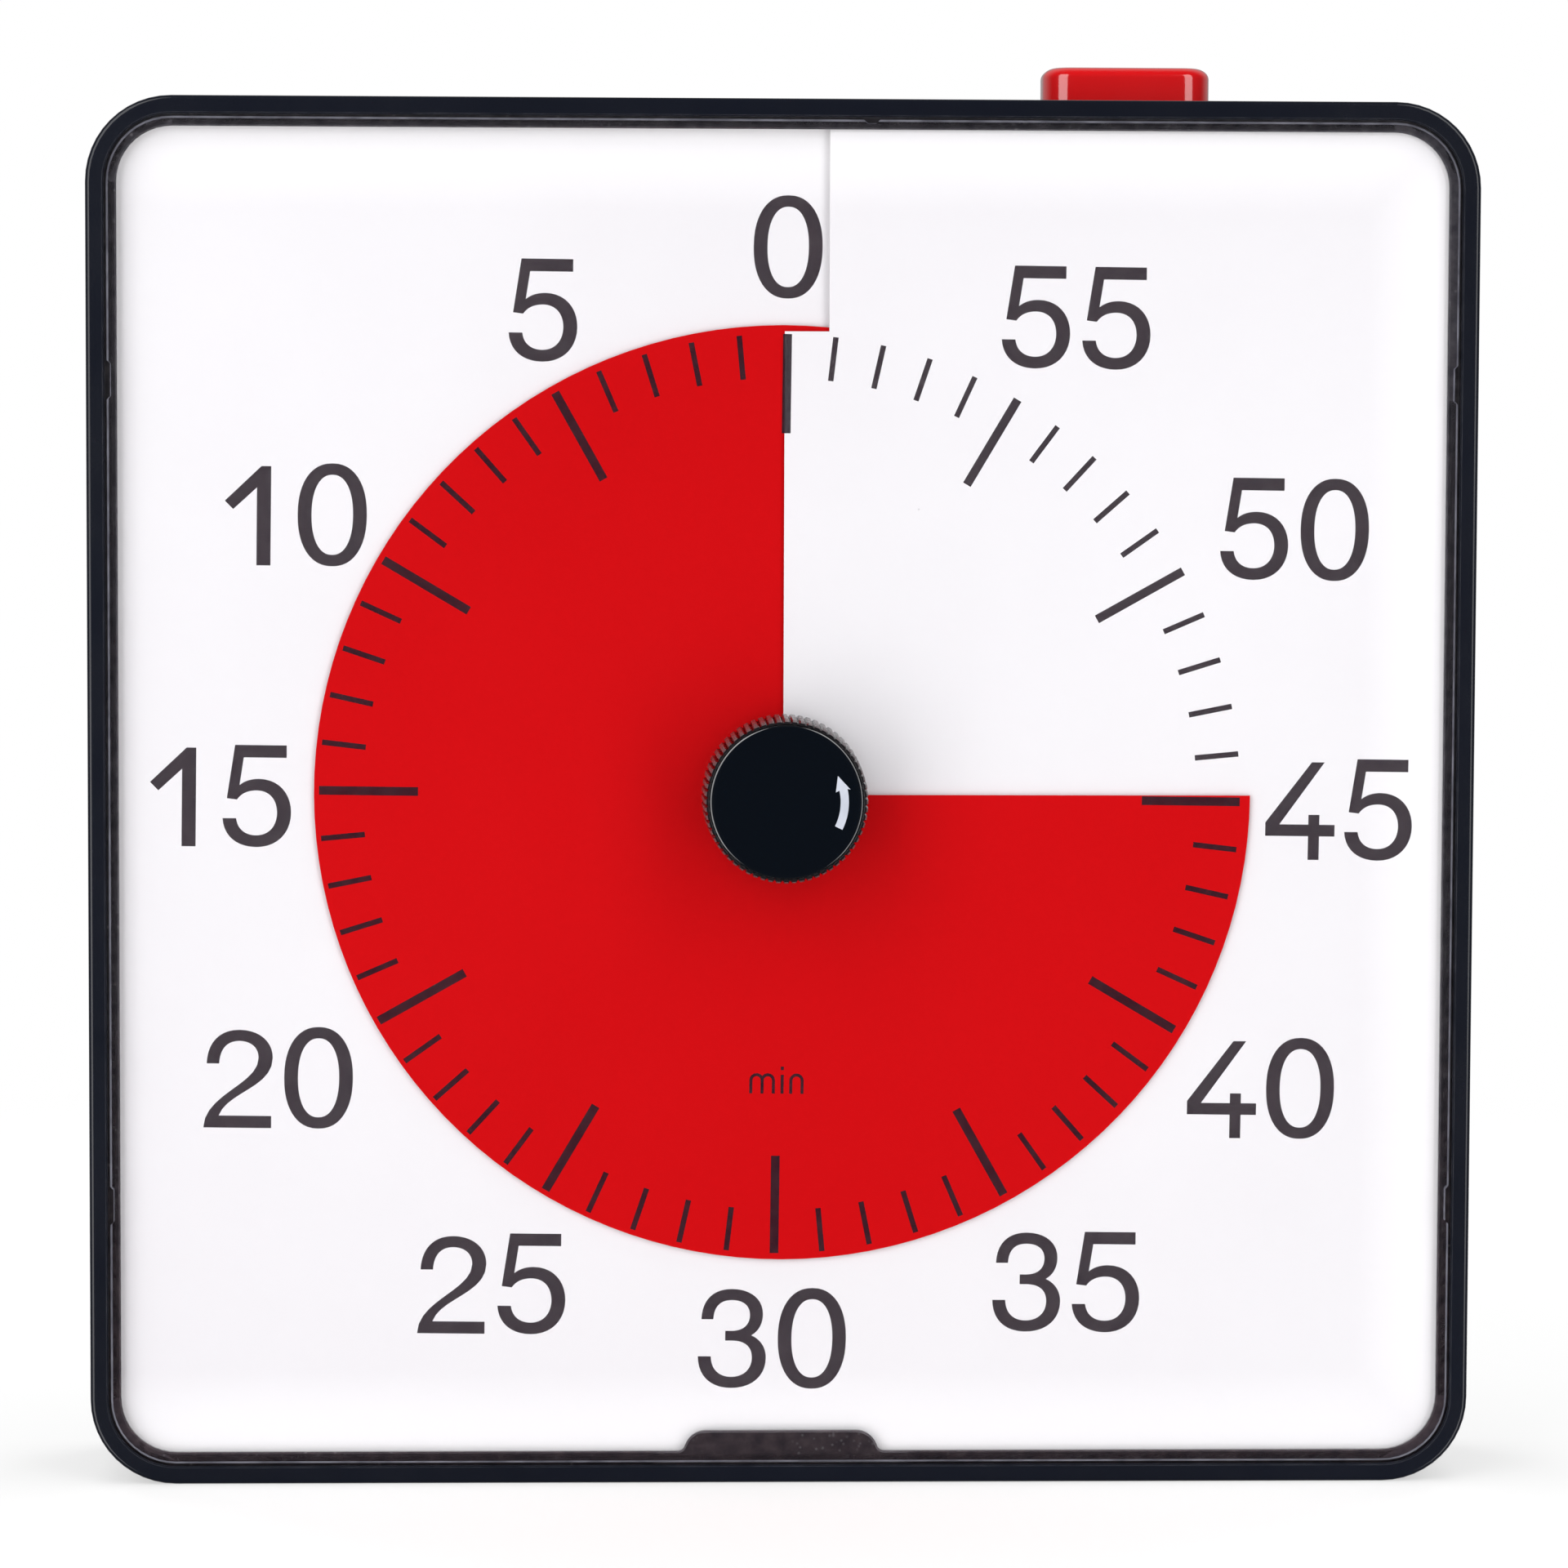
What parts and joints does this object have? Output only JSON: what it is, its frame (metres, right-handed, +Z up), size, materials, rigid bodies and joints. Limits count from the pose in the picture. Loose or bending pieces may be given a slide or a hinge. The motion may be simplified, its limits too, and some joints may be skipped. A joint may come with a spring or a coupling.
{
  "type": "visual countdown timer",
  "caption": "Square free-standing countdown timer with a clear cover, a slit white dial, a red disc that turns through the slit, a setting knob, a top push button and a fold-out stand.",
  "frame": {"origin": "centre of the case's flat bottom face, midway between the front ring and the rear face of the case", "axes": "+Z up, +X to the right seen from the front, the dial faces -Y"},
  "size_m": [0.19, 0.0438, 0.1953],
  "materials": {
    "case_black": "fine satin moulded plastic",
    "cover_clear": "clear glossy plastic",
    "dial_white": "smooth satin sheet",
    "disc_red": "smooth satin sheet",
    "knob_black": "satin moulded plastic",
    "cap_black": "glossy",
    "button_red": "satin gloss moulded plastic",
    "inner_white": "matt moulded plastic",
    "inner_grey": "matt moulded plastic",
    "gear_nylon": "natural nylon",
    "steel": "zinc plated",
    "iron": "soft iron sheet",
    "magnet_nickel": "nickel plated",
    "magnet_dark": "sintered",
    "brass": "rolled brass",
    "copper_wire": "lacquered copper wire",
    "board_green": "lacquered board",
    "resin_black": "cured resin",
    "cell_jacket": "printed foil jacket",
    "wire_red": "flexible insulation",
    "rubber_black": "matt"
  },
  "bodies": {
    "root": {"front_bezel": "case_black", "rear_housing": "case_black", "clear_cover": "cover_clear", "dial_sheet": "dial_white", "dial_carrier": "inner_white", "magnets": "magnet_nickel", "case_screws": "steel", "movement_front": "inner_grey", "movement_rear": "inner_grey", "train_bridge": "inner_white", "movement_screws": "steel", "stator": "iron", "coil_core": "iron", "coil_former": "inner_white", "coil_winding": "copper_wire", "control_board": "board_green", "chip_cover": "resin_black", "quartz_crystal": "steel", "battery_cell": "cell_jacket", "battery_spring": "steel", "battery_plate": "steel", "battery_wires": "wire_red", "buzzer_disc": "brass", "buzzer_holder": "inner_grey", "buzzer_wires": "wire_red", "switch_body": "steel", "button_frame": "inner_grey", "button_switch": "resin_black", "button_springs": "steel"},
    "knob": {"knob": "knob_black", "knob_cap": "cap_black", "spindle": "steel", "clutch_washer": "steel"},
    "disc": {"timer_disc": "disc_red", "disc_hub": "disc_red"},
    "centre_wheel": {"centre_wheel": "gear_nylon"},
    "third_wheel": {"third_wheel": "gear_nylon"},
    "second_wheel": {"second_wheel": "gear_nylon"},
    "fifth_wheel": {"fifth_wheel": "gear_nylon"},
    "rotor": {"rotor_pinion": "gear_nylon", "rotor_magnet": "magnet_dark"},
    "reset_button": {"reset_button": "button_red"},
    "switch_slider": {"switch_slider": "knob_black"},
    "kickstand": {"kickstand": "case_black", "kickstand_pins": "steel", "stand_pad": "rubber_black"},
    "battery_door": {"battery_door": "case_black"}
  },
  "joints": [
    {"name": "knob_turn", "type": "hinge", "parent": "root", "child": "knob", "pos_m": [0, 0, 0.095], "axis": [0, 1, 0], "range_deg": [-90, 270]},
    {"name": "disc_float", "type": "slide", "parent": "knob", "child": "disc", "axis": [0, 1, 0], "range_m": [-0.00031, 0.00091]},
    {"name": "second_spin", "type": "hinge", "parent": "root", "child": "second_wheel", "pos_m": [-0.00075, 0, 0.11106], "axis": [0, 1, 0], "continuous": true},
    {"name": "third_spin", "type": "hinge", "parent": "root", "child": "third_wheel", "pos_m": [-0.01178, 0, 0.1018], "axis": [0, 1, 0], "continuous": true},
    {"name": "centre_spin", "type": "hinge", "parent": "root", "child": "centre_wheel", "pos_m": [0, 0, 0.095], "axis": [0, 1, 0], "continuous": true},
    {"name": "fifth_spin", "type": "hinge", "parent": "root", "child": "fifth_wheel", "pos_m": [0.01241, 0, 0.10627], "axis": [0, 1, 0], "continuous": true},
    {"name": "rotor_spin", "type": "hinge", "parent": "root", "child": "rotor", "pos_m": [0.01449, 0, 0.09445], "axis": [0, 1, 0], "continuous": true},
    {"name": "button_press", "type": "slide", "parent": "root", "child": "reset_button", "axis": [0, 0, -1], "range_m": [0, 0.0025], "stiffness_N_per_m": 400, "springref_m": -0.002, "deforming": ["button_springs"]},
    {"name": "switch_slide", "type": "slide", "parent": "root", "child": "switch_slider", "axis": [1, 0, 0], "range_m": [-0.002, 0.002]},
    {"name": "kickstand_swing", "type": "hinge", "parent": "root", "child": "kickstand", "pos_m": [0, 0.0143, 0.091], "axis": [1, 0, 0], "range_deg": [0, 35]},
    {"name": "door_swing", "type": "hinge", "parent": "root", "child": "battery_door", "pos_m": [-0.062, 0.015, 0.0824], "axis": [1, 0, 0], "range_deg": [0, 80]}
  ],
  "couplings": [
    {"joint": "disc_float", "follows": "knob_turn", "m_per_rad": 0.00019099},
    {"joint": "third_spin", "follows": "second_spin", "ratio": -0.125},
    {"joint": "centre_spin", "follows": "second_spin", "ratio": 0.016667},
    {"joint": "fifth_spin", "follows": "second_spin", "ratio": -6},
    {"joint": "rotor_spin", "follows": "second_spin", "ratio": 30}
  ]
}
